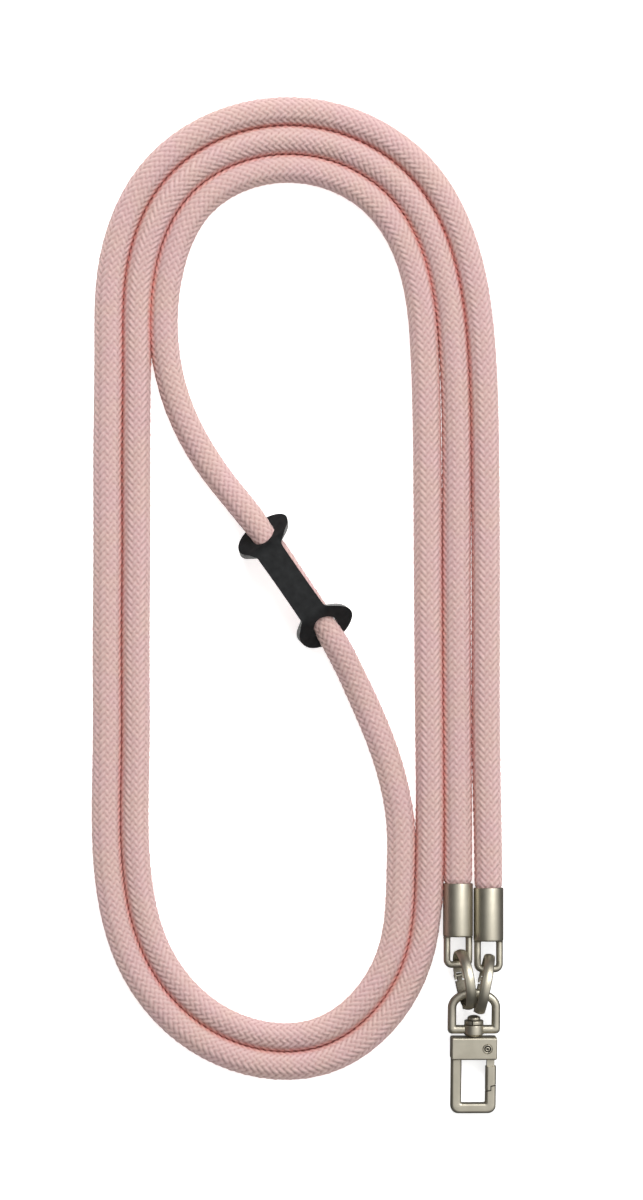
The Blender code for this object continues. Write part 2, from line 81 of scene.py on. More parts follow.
def rampOver(tree, source, stops):  # colours along the source's values, as (position, hex code)
    ramp = addNode(tree, "ValToRGB", links={"Fac": (source, "Fac")})
    elements = ramp.color_ramp.elements
    while len(elements) < len(stops):
        elements.new(0.5)
    for element, (position, hexCode) in zip(elements, stops):
        element.position = position
        element.color = linearColour(hexCode)
    return ramp


def bumpOver(tree, shader, source, output, strength, distance):
    links = {"Height": (source, output)}
    bump = addNode(tree, "Bump", values={"Strength": strength, "Distance": distance}, links=links)
    tree.links.new(bump.outputs["Normal"], shader.inputs["Normal"])


def addObject(name, data, finish=None):
    made = bpy.data.objects.new(name, data)
    bpy.context.scene.collection.objects.link(made)
    if finish:
        data.materials.append(finish)
    return made


def arc(centre, radii, start, end, steps):  # points on a circle or ellipse, angles in degrees
    angles = np.radians(np.linspace(start, end, steps + 1))
    return [(centre[0] + radii[0] * math.cos(a), centre[1] + radii[1] * math.sin(a)) for a in angles]


def smoothThrough(points, cuts):  # natural cubic curve, with the same number of pieces after each point
    points = np.array(points)
    steps = np.linalg.norm(np.diff(points, axis=0), axis=1)
    count = len(points)
    system = np.zeros((count, count))
    right = np.zeros((count, 3))
    system[0, 0] = system[-1, -1] = 1
    for i in range(1, count - 1):
        system[i, i - 1:i + 2] = steps[i - 1], 2 * (steps[i - 1] + steps[i]), steps[i]
        right[i] = 6 * ((points[i + 1] - points[i]) / steps[i] - (points[i] - points[i - 1]) / steps[i - 1])
    bends = np.linalg.solve(system, right)
    found = []
    for i, step in enumerate(steps):
        for b in np.arange(cuts) / cuts:
            a = 1 - b
            pull = (a ** 3 - a) * bends[i] + (b ** 3 - b) * bends[i + 1]
            found.append(a * points[i] + b * points[i + 1] + pull * step ** 2 / 6)
    return np.array(found + [points[-1]])


def solidOf(holder):  # the object's shape with its modifiers, as a bmesh; the object goes
    graph = bpy.context.evaluated_depsgraph_get()
    mesh = bpy.data.meshes.new_from_object(holder.evaluated_get(graph))
    solid = bmesh.new()
    solid.from_mesh(mesh)
    bpy.data.objects.remove(holder)
    bpy.data.meshes.remove(mesh)
    return solid


# Camera: far above the strap, a little to its left, as the left faces of the hook show

camera = {
    "target": (-14.5 * mm, 62.0 * mm, 4.0 * mm),
    "frameHeight": 348.0 * mm,
    "distance": 3.0,
    "leanLeft": 4.5,  # degrees from straight above
}


def buildCamera():
    lean = math.radians(camera["leanLeft"])
    data = bpy.data.cameras.new("camera")
    data.lens = data.sensor_width * camera["distance"] / camera["frameHeight"]
    data.clip_start, data.clip_end = 0.1, 20
    made = addObject("camera", data)
    away = Vector((-math.sin(lean), 0, math.cos(lean)))
    made.location = Vector(camera["target"]) + away * camera["distance"]
    made.rotation_euler = (0, -lean, 0)
    bpy.context.scene.camera = made


# Cord: a round braid of polyester yarn over a soft core

cord = {
    "diameter": 8.0 * mm,
    "widthFlat": 8.3 * mm,  # lying cord spreads a little sideways, until its turns touch
    "bulge": 0.3 * mm,  # how far touching turns press into each other
    "gripDiameter": 7.0 * mm,  # where a ferrule squeezes it
    "gripLength": 6.0 * mm,
    "gripMargin": 0.3 * mm,
    "mouthTaper": 1.2 * mm,
    "neckDiameter": 7.2 * mm,  # in the slider's holes
    "neckLength": 9.0 * mm,
    "necks": ((-31.5 * mm, 81.0 * mm), (-13.9 * mm, 54.6 * mm)),
    "lanePitch": 8.4 * mm,
    "contactReach": 2.4 * mm,  # gap over which the touching turns' bulge and their painted seam shade and salmon light fade
    "coreDiameter": 6.9 * mm,
    "coreSpacing": 0.5,  # of the diameter, between the core's sections
    "length": 1.766,
    "strands": 12,  # each way round the cord
    "over": (1, 1, -1, 1, -1, -1),  # which way's strand is on top, at each crossing round the cord
    "stitch": 2.05 * mm,  # along the cord
    "strandRise": 0.4 * mm,
    "strandUneven": 0.12,  # share by which that differs from stitch to stitch
    "interlace": 0.15 * mm,
    "grooveDepth": 1.5,  # of the strand's rise
    "grooveFloor": 0.18,  # of that depth, where a strand passes under the groove
    "patternTurn": -37.5,  # degrees round the cord
    "patternSway": 9.0,  # degrees that the pattern wanders to each side
    "swayLength": 0.7,
    "ringsPerStitch": 6,
    "facesPerCrossing": 3,
    "sections": 4,
    "headingStep": 0.4 * mm,  # to each side of a point, for the cord's direction there
    "searchStep": 2.0 * mm,  # between the points that look for a neighbouring turn
    "searchReach": 20.0 * mm,
    "ownLength": 30.0 * mm,  # cord so near along the route is no neighbour
}
ferrule = {
    "left": (25.2 * mm, -20.2 * mm),  # x, and y of the mouth
    "right": (34.1 * mm, -21.5 * mm),
    "diameter": 8.7 * mm,
    "length": 15.6 * mm,
    "boreDepth": 13.0 * mm,
    "boreEase": 0.3 * mm,
    "edge": 0.55 * mm,
    "solderSpread": 0.33 * mm,
}
# Route in mm: the bends hold angle and radius of the middle of the nested turns
topBendCentre = (-23.3, 157.7)
topBend = [(0, 43.9), (36, 39.8), (72, 37.8), (108, 38.2), (144, 40.7), (180, 43.7)]
bottomBendCentre = (-30.0, -16.3)
bottomBend = [(180, 42.3), (216, 44.0), (252, 49.6), (288, 53.3), (324, 47.7), (360, 42.7)]
leftSide = [  # y, then x of each turn
    (134.5, -76.4, -68.2),
    (105.5, -76.7, -68.3),
    (76.5, -76.7, -68.3),
    (47.5, -76.9, -68.5),
    (18.5, -76.9, -68.5),
]
rightSide = [
    (134.5, 32.2, 23.9, 15.4),
    (105.5, 33.2, 24.8, 16.2),
    (76.5, 33.4, 24.8, 16.4),
    (47.5, 33.4, 24.8, 16.6),
    (18.5, 33.5, 25.0, 16.9),
]
sliderRun = [
    (-60.3, 143.0, 4.0),
    (-56.7, 120.0, 4.0),
    (-43.9, 96.8, 4.8),
    (-36.2, 87.0, 7.2),
    (-31.5, 80.5, 8.6),
    (-23.4, 68.4, 8.8),
    (-14.5, 55.3, 8.0),
    (-10.1, 48.4, 6.8),
    (-5.0, 38.6, 4.8),
    (4.6, 15.6, 4.0),
    (8.6, -6.0, 4.0),
]


def bendPoints(bend, centre, offset):  # one turn of a bend, offset from the middle of the nest
    found = []
    for degrees, radius in bend:
        angle, reach = math.radians(degrees), radius * mm + offset
        x, y = centre[0] * mm + reach * math.cos(angle), centre[1] * mm + reach * math.sin(angle)
        found.append((x, y, cord["diameter"] / 2))
    return found


def sidePoints(side, turn):
    return [(row[turn] * mm, row[0] * mm, cord["diameter"] / 2) for row in side]


def endPoints(place):  # from the cord's end in its ferrule to just outside the mouth
    x, mouth = place
    levels = (mouth - cord["gripLength"], mouth - cord["gripMargin"], mouth + cord["mouthTaper"])
    return [(x, y, ferrule["diameter"] / 2) for y in levels]


def cordRoute():
    pitch = cord["lanePitch"]
    return (
        endPoints(ferrule["right"])
        + sidePoints(rightSide, 1)[::-1]
        + bendPoints(topBend, topBendCentre, pitch)
        + sidePoints(leftSide, 1)
        + bendPoints(bottomBend, bottomBendCentre, pitch / 2)
        + sidePoints(rightSide, 3)[::-1]
        + bendPoints(topBend, topBendCentre, -pitch)
        + [(x * mm, y * mm, z * mm) for x, y, z in sliderRun]
        + bendPoints(bottomBend, bottomBendCentre, -pitch / 2)[::-1]
        + sidePoints(leftSide, 2)[::-1]
        + bendPoints(topBend, topBendCentre, 0)[::-1]
        + sidePoints(rightSide, 2)
        + endPoints(ferrule["left"])[::-1]
    )


def makeCordCurve():  # the centre line, finely cut, with the distance along it at each point
    line = smoothThrough(cordRoute(), 40)
    line[:, 2] = np.maximum(line[:, 2], cord["diameter"] / 2)
    steps = np.linalg.norm(np.diff(line, axis=0), axis=1)
    return line, np.concatenate([[0], np.cumsum(steps)])


def cordFrame(s, line, reached):  # centre, sideways and upward directions at distances s
    centre = np.stack([np.interp(s, reached, line[:, i]) for i in range(3)], axis=-1)
    step = cord["headingStep"]
    ahead = np.stack([np.interp(s + step, reached, line[:, i]) for i in range(3)], axis=-1)
    behind = np.stack([np.interp(s - step, reached, line[:, i]) for i in range(3)], axis=-1)
    tangent = ahead - behind
    tangent /= np.linalg.norm(tangent, axis=-1, keepdims=True)
    sideways = np.cross(tangent, (0, 0, 1))
    sideways /= np.linalg.norm(sideways, axis=-1, keepdims=True)
    return centre, sideways, np.cross(sideways, tangent)


def squeeze(s, total, necks):  # share of the full thickness, less in the ferrules and the slider's holes
    tight = cord["gripDiameter"] / cord["diameter"]
    inside = cord["gripLength"] - cord["gripMargin"]
    fromEnd = np.minimum(s, total - s)
    opened = np.clip((fromEnd - inside) / (cord["gripMargin"] + cord["mouthTaper"]), 0, 1)
    share = tight + (1 - tight) * opened * opened * (3 - 2 * opened)
    for neck in necks:
        near = np.exp(-(((s - neck) / (cord["neckLength"] / 2)) ** 2))
        share = share * (1 - (1 - cord["neckDiameter"] / cord["diameter"]) * near)
    return share


def findNecks(line, reached):  # distances along the cord of its points in the slider's holes
    return [reached[np.hypot(line[:, 0] - x, line[:, 1] - y).argmin()] for x, y in cord["necks"]]


def unevenness(strand, column):  # a small, fixed difference from stitch to stitch
    return np.modf(np.sin(strand * 12.9898 + column * 78.233) * 43758.5453)[0]


def neighbourLanes(line, reached):  # sideways, upward and lengthwise steps to the next turn, each side
    marks = np.arange(0, reached[-1], cord["searchStep"])
    centre, sideways, upward = cordFrame(marks, line, reached)
    steps = centre[None, :] - centre[:, None]
    apart = np.linalg.norm(steps, axis=-1)
    apart[np.abs(marks[:, None] - marks[None, :]) < cord["ownLength"]] = 1
    across = np.einsum("ijk,ik->ij", steps, sideways)
    found = []
    for side in (-1, 1):
        distances = np.where(across * side > 0, apart, 1)
        nearest = distances.argmin(axis=1)
        step = steps[np.arange(len(marks)), nearest]
        far = distances.min(axis=1) > cord["searchReach"]
        offset = np.where(far, side, (step * sideways).sum(axis=1))
        height = np.where(far, 0, (step * upward).sum(axis=1))
        lengthwise = np.sqrt(np.maximum((step ** 2).sum(axis=1) - offset ** 2 - height ** 2, 0))
        found.append((marks, offset, height, np.where(far, 0, lengthwise)))
    return found


def buildCordSection(name, firstRow, lastRow, line, reached, lanes, necks, finish):
    faces, strands, stitch = cord["facesPerCrossing"], cord["strands"], cord["stitch"]
    over = np.array(cord["over"])
    around = 2 * strands * faces
    crossing = np.arange(around + 1) / faces - 0.5  # position round the cord, in crossings
    leans = over[(np.arange(around) // faces) % len(over)]
    shear = np.concatenate([[0], np.cumsum(-leans * stitch / 2 / faces)])  # edges follow the strands
    stations = np.arange(firstRow, lastRow + 1)[:, None] * stitch / cord["ringsPerStitch"]
    total = reached[-1]
    s = np.clip(stations + shear[None, :], 0, total)
    turn = (crossing / 2)[None, :]
    first = s / stitch + turn  # across the strands that lean one way
    second = s / stitch - turn  # and the other way
    before = np.floor(crossing)
    share = crossing - before
    share = share * share * (3 - 2 * share)
    before = before.astype(int)
    onTop = over[before % len(over)] * (1 - share) + over[(before + 1) % len(over)] * share
    firstEdge = np.abs(first - np.round(first)) * 2  # 0 on a strand's crown, 1 in its groove
    secondEdge = np.abs(second - np.round(second)) * 2
    floor = cord["grooveFloor"]
    firstDrop = firstEdge ** 2 * (floor + (1 - floor) * secondEdge ** 1.5)
    secondDrop = secondEdge ** 2 * (floor + (1 - floor) * firstEdge ** 1.5)
    uneven = cord["strandUneven"]
    firstRise = cord["strandRise"] * (1 + uneven * unevenness(np.round(first), np.round(second)))
    secondRise = cord["strandRise"] * (1 + uneven * unevenness(np.round(second), np.round(first) + 40))
    relief = np.maximum(
        firstRise * (1 - cord["grooveDepth"] * firstDrop) + cord["interlace"] * onTop,
        secondRise * (1 - cord["grooveDepth"] * secondDrop) - cord["interlace"] * onTop,
    )
    highest = cord["strandRise"] + cord["interlace"]
    sway = cord["patternTurn"] + cord["patternSway"] * np.sin(2 * math.pi * s / cord["swayLength"])
    angle = turn / strands * 2 * math.pi + np.radians(sway)
    centre, sideways, upward = cordFrame(s, line, reached)
    radius = (cord["diameter"] / 2 - highest + relief) * squeeze(s, total, necks)
    lifted = np.clip((centre[..., 2] - cord["diameter"] / 2) / mm, 0, 1)
    spread = 1 + (cord["widthFlat"] / cord["diameter"] - 1) * (1 - lifted)
    across, height = radius * np.sin(angle) * spread, radius * np.cos(angle)
    # closeness to the next turn, which the material turns into painted seam shade and painted salmon light
    contact = np.zeros_like(s)
    bulge = np.zeros_like(s)
    for marks, offset, level, lengthwise in lanes:
        sideStep, upStep = np.interp(s, marks, offset), np.interp(s, marks, level)
        beyond = np.maximum(np.interp(s, marks, lengthwise) - cord["searchStep"], 0)
        gap = np.hypot(sideStep - across, upStep - height) - cord["diameter"] / 2 + beyond
        closeness = np.clip(1 - gap / cord["contactReach"], 0, 1)
        contact = np.maximum(contact, closeness)
        bulge += cord["bulge"] * np.sign(sideStep) * closeness ** 3
    across = across + bulge
    points = (centre + sideways * across[..., None] + upward * height[..., None])[:, :-1]
    count = len(stations)
    index = np.arange(count * around).reshape(count, around)
    turned = np.roll(index, -1, axis=1)
    quads = np.stack([index[:-1], turned[:-1], turned[1:], index[1:]], axis=-1).reshape(-1, 4)
    mesh = bpy.data.meshes.new(name)
    mesh.vertices.add(count * around)
    mesh.vertices.foreach_set("co", points.reshape(-1).astype(np.float32))
    mesh.loops.add(quads.size)
    mesh.loops.foreach_set("vertex_index", quads.reshape(-1).astype(np.int32))
    mesh.polygons.add(len(quads))
    mesh.polygons.foreach_set("loop_start", np.arange(0, quads.size, 4, dtype=np.int32))
    mesh.update()
    mesh.shade_smooth()
    for label, values in (("relief", relief / highest), ("contact", contact)):
        layer = mesh.attributes.new(label, "FLOAT", "POINT")
        layer.data.foreach_set("value", values[:, :-1].reshape(-1).astype(np.float32))
    # The map runs across the yarn in U and along it in V, both in strands.
    corners = []
    for down, side in ((0, 0), (0, 1), (1, 1), (1, 0)):
        rows, columns = slice(down, count - 1 + down), slice(side, around + side)
        u = np.where(leans[None, :] > 0, first[rows, columns], second[rows, columns])
        v = np.where(leans[None, :] > 0, second[rows, columns], first[rows, columns])
        corners.append(np.stack([u, v], axis=-1))
    layer = mesh.uv_layers.new(name="yarn")
    layer.data.foreach_set("uv", np.stack(corners, axis=2).reshape(-1).astype(np.float32))
    return addObject(name, mesh, finish)


def braidedPolyester():  # dull, soft yarn, with painted shade in the braid's grooves; where turns touch, painted shade darkens the seam and painted light, as if bounced between them, glows salmon red beside it
    made, tree, shader = startMaterial("braided polyester yarn")
    relief = addNode(tree, "Attribute", {"attribute_name": "relief"})
    # painted shade: the deeper the yarn lies in the braid's grooves and pits, the darker its colour
    tint = rampOver(tree, relief, [(0.05, "#93615D"), (0.5, "#C2A19E"), (0.95, "#D4B8B5")])
    dyeLots = noiseOver(tree, 9 * mm, 2)
    warmth = rampOver(tree, dyeLots, [(0.35, "#FFF8FA"), (0.65, "#FFFCF6")])
    # random dye lots times the painted groove shade
    dyed = multiply(tree, tint, warmth)
    contact = addNode(tree, "Attribute", {"attribute_name": "contact"})
    # painted shade and light: dark red-brown in the seams where turns touch, salmon red beside them
    paintedSeamStops = [(0.25, "#FFFFFF"), (0.6, "#FFE2DC"), (0.85, "#F0A79E"), (1.0, "#94504B")]
    glow = rampOver(tree, contact, paintedSeamStops)
    lit = multiply(tree, dyed, glow)
    tree.links.new(lit.outputs["Color"], shader.inputs["Base Color"])
    yarnMap = addNode(tree, "UVMap", {"uv_map": "yarn"})
    stretch = addNode(
        tree, "Mapping", values={"Scale": (9, 1.2, 1)}, links={"Vector": (yarnMap, "UV")}
    )  # 9 bundles of filaments across a 1.4 mm strand
    links = {"Vector": (stretch, "Vector")}
    filaments = addNode(tree, "TexNoise", {"noise_dimensions": "2D"}, {"Scale": 1, "Detail": 2}, links)
    bumpOver(tree, shader, filaments, "Fac", 0.35, 0.08 * mm)
    shader.inputs["Roughness"].default_value = 0.75
    shader.inputs["IOR"].default_value = 1.5
    shader.inputs["Specular IOR Level"].default_value = 0.3
    shader.inputs["Sheen Weight"].default_value = 0.2
    shader.inputs["Sheen Roughness"].default_value = 0.5
    return made


def buildCord():
    finish = braidedPolyester()
    line, reached = makeCordCurve()
    total = reached[-1]
    stations = int((total / cord["stitch"] + 3) * cord["ringsPerStitch"])
    bounds = np.linspace(0, stations, cord["sections"] + 1).astype(int)
    lanes, necks = neighbourLanes(line, reached), findNecks(line, reached)
    covers = []
    for i in range(cord["sections"]):
        name = f"cord_cover_{i + 1}"
        covers.append(buildCordSection(name, bounds[i], bounds[i + 1], line, reached, lanes, necks, finish))
    # The soft core is a plain tube, closer spaced than its bends need.
    count = int(total / (cord["coreSpacing"] * cord["diameter"]))
    marks = np.linspace(0, total, count)
    corePath = np.stack([np.interp(marks, reached, line[:, i]) for i in range(3)], axis=-1)
    curve = bpy.data.curves.new("cord_core", "CURVE")
    curve.dimensions = "3D"
    curve.bevel_depth = cord["coreDiameter"] / 2
    curve.bevel_resolution = 2
    curve.use_fill_caps = True
    spline = curve.splines.new("POLY")
    spline.points.add(count - 1)
    for point, place, thickness in zip(spline.points, corePath, squeeze(marks, total, necks)):
        point.co = (*place, 1)
        point.radius = thickness * thickness
    core = addObject("cord_core", curve, finish)
    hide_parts("cord")
    for piece in (core, *covers):
        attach(piece, "strap")
    print("cord", round(float(total), 4), "m,", stations, "rows of the braid")


# Slider: a dog-bone of leather, bent up over the cord, which runs through both its holes

slider = {
    "thickness": 1.3 * mm,
    "width": 8.5 * mm,
    "waist": 0.07,  # share by which the middle is narrower
    "lobeDiameter": 17.4 * mm,
    "lobeSpacing": 37.4 * mm,
    "holeAcross": 7.25 * mm,
    "holeAlong": 10.2 * mm,
    "fillet": 1.2 * mm,
    "upperTilt": 66.0,
    "lowerTilt": 54.0,
    "upperBend": 2.2 * mm,
    "lowerBend": 3.6 * mm,
    "bendFromMiddle": 13.48 * mm,
    "slope": -0.4,
    "bow": 2.3 * mm,  # how far the body stands aside from the lobes
    "lowerAside": 0.7 * mm,  # how far the lower lobe stands aside
    "bowFlat": 0.52,  # share of the half length that stays straight
    "place": (-22.3 * mm, 68.5 * mm),
    "heading": -55.0,
    "gridStep": 0.7 * mm,
    "edgeRound": 0.2 * mm,
}


def stripTilt(s):
    up, down = math.radians(slider["upperTilt"]), -math.radians(slider["lowerTilt"])
    flat = math.radians(slider["slope"])
    reach = slider["bendFromMiddle"]
    bodyStart = -reach + slider["upperBend"] * (up - flat)
    bodyEnd = reach - slider["lowerBend"] * (flat - down)
    return np.interp(s, [-reach, bodyStart, bodyEnd, reach], [up, flat, flat, down])


def stripOutline():
    centre, radius, half = slider["lobeSpacing"] / 2, slider["lobeDiameter"] / 2, slider["width"] / 2
    fillet = slider["fillet"]
    filletY = half + fillet  # the fillet touches the body's edge and the lobe
    filletX = centre - math.sqrt((radius + fillet) ** 2 - filletY ** 2)
    meet = math.degrees(math.atan2(filletY, filletX - centre))
    right = arc((filletX, -filletY), (fillet, fillet), 90, 180 - meet, 6)
    right += arc((centre, 0), (radius, radius), -meet, meet, 48)
    right += arc((filletX, filletY), (fillet, fillet), meet - 180, -90, 6)
    return right + [(-x, -y) for x, y in right]


def blackLeather():  # dyed through and finished matt, with a fine pebbled grain
    made, tree, shader = startMaterial("black dyed leather")
    links = {"Vector": (addNode(tree, "TexCoord"), "Object")}
    pebble = 0.55 * mm  # a little coarser than real, so that it shows
    grain = addNode(tree, "TexVoronoi", {"feature": "DISTANCE_TO_EDGE"}, {"Scale": 1 / pebble}, links)
    wear = noiseOver(tree, 2.5 * mm, 6)
    tint = rampOver(tree, wear, [(0.35, "#161718"), (0.75, "#242526")])
    tree.links.new(tint.outputs["Color"], shader.inputs["Base Color"])
    bumpOver(tree, shader, grain, "Distance", 0.5, 0.05 * mm)
    shader.inputs["Roughness"].default_value = 0.68
    shader.inputs["IOR"].default_value = 1.5
    shader.inputs["Specular IOR Level"].default_value = 0.2
    return made


def cutEdgeHighlight():  # raw fibres at the cut edge are rougher; their lighter grey is a painted highlight where the edge catches the light
    made, tree, shader = startMaterial("cut leather edge, painted lighter")
    fibres = noiseOver(tree, 0.5 * mm, 4)
    tint = rampOver(tree, fibres, [(0.3, "#5C5E5E"), (0.7, "#949695")])
    tree.links.new(tint.outputs["Color"], shader.inputs["Base Color"])
    bumpOver(tree, shader, fibres, "Fac", 0.5, 0.05 * mm)
    shader.inputs["Roughness"].default_value = 0.85
    return made


def plate(outlines, thickness):  # a flat solid; an outline inside another is a hole
    curve = bpy.data.curves.new("plate", "CURVE")
    curve.dimensions = "2D"
    curve.fill_mode = "BOTH"
    curve.extrude = thickness / 2
    for outline in outlines:
        spline = curve.splines.new("POLY")
        spline.points.add(len(outline) - 1)
        spline.use_cyclic_u = True
        for point, (x, y) in zip(spline.points, outline):
            point.co = (x, y, 0, 1)
    holder = addObject("plate", curve)
    bpy.context.view_layer.update()
    solid = solidOf(holder)
    bmesh.ops.remove_doubles(solid, verts=solid.verts, dist=0.001 * mm)
    bmesh.ops.recalc_face_normals(solid, faces=solid.faces)
    return solid


def cutInGrid(solid, reach, step):
    for axis in (0, 1):
        normal = [0, 0, 0]
        normal[axis] = 1
        for level in np.arange(-reach[axis] + step / 3, reach[axis], step):
            every = solid.verts[:] + solid.edges[:] + solid.faces[:]
            bmesh.ops.bisect_plane(
                solid, geom=every, plane_co=[level * n for n in normal], plane_no=normal, dist=0.002 * mm
            )


def buildSlider():
    hole = (slider["holeAlong"] / 2, slider["holeAcross"] / 2)
    holes = [arc((side * slider["lobeSpacing"] / 2, 0), hole, 0, 360, 48)[:-1] for side in (-1, 1)]
    solid = plate([stripOutline(), *holes], slider["thickness"])
    reach = slider["lobeSpacing"] / 2 + slider["lobeDiameter"] / 2
    cutInGrid(solid, (reach, slider["lobeDiameter"] / 2), slider["gridStep"])
    for face in solid.faces:
        # side faces take the cut edge material, painted lighter grey as a highlight
        face.material_index = 0 if abs(face.normal.z) > 0.5 else 1
        face.smooth = True
    stations, step = np.linspace(-reach, reach, 400, retstep=True)
    tilts = stripTilt(stations)
    along = np.cumsum(np.cos(tilts)) * step
    rise = np.cumsum(np.sin(tilts)) * step
    along -= np.interp(0, stations, along)
    for vertex in solid.verts:
        s, across, height = vertex.co
        tilt = float(stripTilt(s))
        x = float(np.interp(s, stations, along)) - height * math.sin(tilt)
        z = float(np.interp(s, stations, rise)) + height * math.cos(tilt)
        reached = min(abs(2 * x / slider["lobeSpacing"]), 1)  # 0 in the middle, 1 at a lobe's end
        across *= 1 - slider["waist"] * (1 - reached ** 2)
        ease = max(reached - slider["bowFlat"], 0) / (1 - slider["bowFlat"])
        lobe = slider["lowerAside"] if x > 0 else 0
        vertex.co = (x, across - lobe - (slider["bow"] - lobe) * (1 - ease * ease * (3 - 2 * ease)), z)
    lowest = min(vertex.co.z for vertex in solid.verts)
    for vertex in solid.verts:
        vertex.co.z -= lowest
    mesh = bpy.data.meshes.new("slider_strap")
    solid.to_mesh(mesh)
    solid.free()
    made = addObject("slider_strap", mesh, blackLeather())
    mesh.materials.append(cutEdgeHighlight())
    made.location = (*slider["place"], 0)
    made.rotation_euler = (0, 0, math.radians(slider["heading"]))
    rounding = made.modifiers.new("rounded edges", "BEVEL")
    rounding.width = slider["edgeRound"]
    rounding.segments = 3
    rounding.limit_method = "ANGLE"
    rounding.angle_limit = math.radians(50)
    rounding.harden_normals = True
    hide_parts("slider")
    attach(made, "strap")
    print("slider", len(mesh.polygons), "faces")


# Hardware: zinc, die-cast and plated with satin nickel

ring = {
    "diameter": 17.8 * mm,
    "wall": 1.15 * mm,
    "width": 3.0 * mm,
    "edge": 0.5 * mm,
    "crown": 0.22 * mm,  # how far the outer face falls towards its sides
    "slack": 0.55 * mm,  # between the ring and the bar of the ferrule's loop
    "gateStart": -68.0,
    "gateEnd": 0.0,
    "tongueWidth": 1.4 * mm,
    "tongueTurn": 15.0,  # degrees that the gate's tongues reach into the band
    "tonguePlay": 0.15 * mm,
    "slit": 0.45 * mm,  # open joint at each end of the gate
    "gateInset": 0.12 * mm,  # how much narrower the gate is than the band
    "pinDiameter": 1.0 * mm,
    "pinShow": 0.06 * mm,
}
rings = {
    "left": {"x": 26.7 * mm, "yaw": 9.6, "lean": 5.0},
    "right": {"x": 32.5 * mm, "yaw": -10.6, "lean": -2.0},
}
loop = {"width": 8.4 * mm, "wire": 2.0 * mm, "reach": 9.0 * mm, "corner": 1.4 * mm, "root": 0.9 * mm}
dRing = {
    "place": (29.8 * mm, -62.6 * mm, 4.438 * mm),
    "incline": 7.0,
    "width": 15.3 * mm,
    "length": 13.15 * mm,
    "bar": 2.5 * mm,
    "arch": 5.5 * mm,
    "corner": 1.3 * mm,
    "edge": 1.1 * mm,
}
swivel = {
    "barrelDiameter": 5.9 * mm,
    "barrelAbove": 1.4 * mm,
    "barrelBelow": 1.85 * mm,
    "barrelTaper": 0.6 * mm,
    "barrelEdge": 0.25 * mm,
    "washerDiameter": 5.6 * mm,
    "washerThickness": 1.15 * mm,
    "washerEdge": 0.22 * mm,
    "washerSplit": 0.4 * mm,
    "splitPlace": -104.0,  # degrees; -90 faces up in the lying hook
    "washerGap": 0.15 * mm,
    "shankDiameter": 2.2 * mm,
    "headDiameter": 3.8 * mm,
    "headHeight": 1.35 * mm,
    "headRim": 0.47 * mm,
    "shankInBlock": 4.0 * mm,
}
hook = {
    "width": 13.2 * mm,
    "bar": 3.1 * mm,
    "thickness": 3.0 * mm,
    "corner": 2.3 * mm,
    "innerCorner": 0.35 * mm,
    "edge": 0.9 * mm,
    "end": 24.6 * mm,
    "blockLength": 6.55 * mm,
    "blockThickness": 5.4 * mm,
    "blockOverhang": 0.1 * mm,
    "blockEdge": 0.55 * mm,
    "frameRoot": 2.2 * mm,
    "tabThickness": 1.6 * mm,
    "tabRadius": 1.8 * mm,
    "tabShow": 2.1 * mm,
    "tabRoot": 1.0 * mm,
    "tabEdge": 0.12 * mm,
    "pivotFromEdge": 2.75 * mm,
    "pivotFromTop": 3.3 * mm,
    "gateReach": 9.4 * mm,
    "gateStep": 1.5 * mm,
    "pinDiameter": 1.6 * mm,
    "pinHead": 2.6 * mm,
    "pinHeadThickness": 0.45 * mm,
    "pinSeatFlare": 0.12 * mm,
    "gap": 0.3 * mm,
    "clearance": 0.08 * mm,
}
gateRivet = {  # a raised ring round a pit, in a groove inside the head's rim
    "ringRadius": 0.5 * mm,
    "ringHeight": 0.1 * mm,
    "rimHeight": 0.12 * mm,
    "halfWidth": 0.16 * mm,  # of the ring and of the rim
    "pitRadius": 0.22 * mm,
    "pitDepth": 0.35 * mm,
    "pitEdgeDepth": 0.3 * mm,
    "grooveDepth": 0.42 * mm,
    "grooveInside": 0.78 * mm,
    "grooveOutside": 0.86 * mm,
}


platings = {  # the gates of the rings take a darker, rougher copy of the plate; the darker tones are painted shade
    "satin nickel plate": {"tones": [(0.3, "#B2AC9C"), (0.7, "#BFB9A9")], "haze": (0.37, 0.47)},
    "shaded nickel plate": {"tones": [(0.3, "#6A655A"), (0.7, "#7E786B")], "haze": (0.48, 0.58)},
}


def nickelPlate(name):  # warm grey metal; fine blasting blurs its reflections
    made, tree, shader = startMaterial(name)
    grit = noiseOver(tree, 0.2 * mm, 3)  # marks of blasting grit
    bumpOver(tree, shader, grit, "Fac", 0.15, 0.02 * mm)
    tone = noiseOver(tree, 4 * mm, 3)
    plating = rampOver(tree, tone, platings[name]["tones"])
    tree.links.new(plating.outputs["Color"], shader.inputs["Base Color"])
    low, high = platings[name]["haze"]
    haze = addNode(tree, "MapRange", values={"To Min": low, "To Max": high}, links={"Value": (tone, "Fac")})
    tree.links.new(haze.outputs["Result"], shader.inputs["Roughness"])
    shader.inputs["Metallic"].default_value = 1
    return made


def recessShade():  # painted shade: the rivet's groove and pit are coloured dark where shade falls in them
    made, tree, shader = startMaterial("painted recess shade on nickel")
    patches = noiseOver(tree, 0.4 * mm, 3)
    tint = rampOver(tree, patches, [(0.3, "#2E2A24"), (0.7, "#4C463C")])
    tree.links.new(tint.outputs["Color"], shader.inputs["Base Color"])
    shader.inputs["Roughness"].default_value = 0.6
    return made


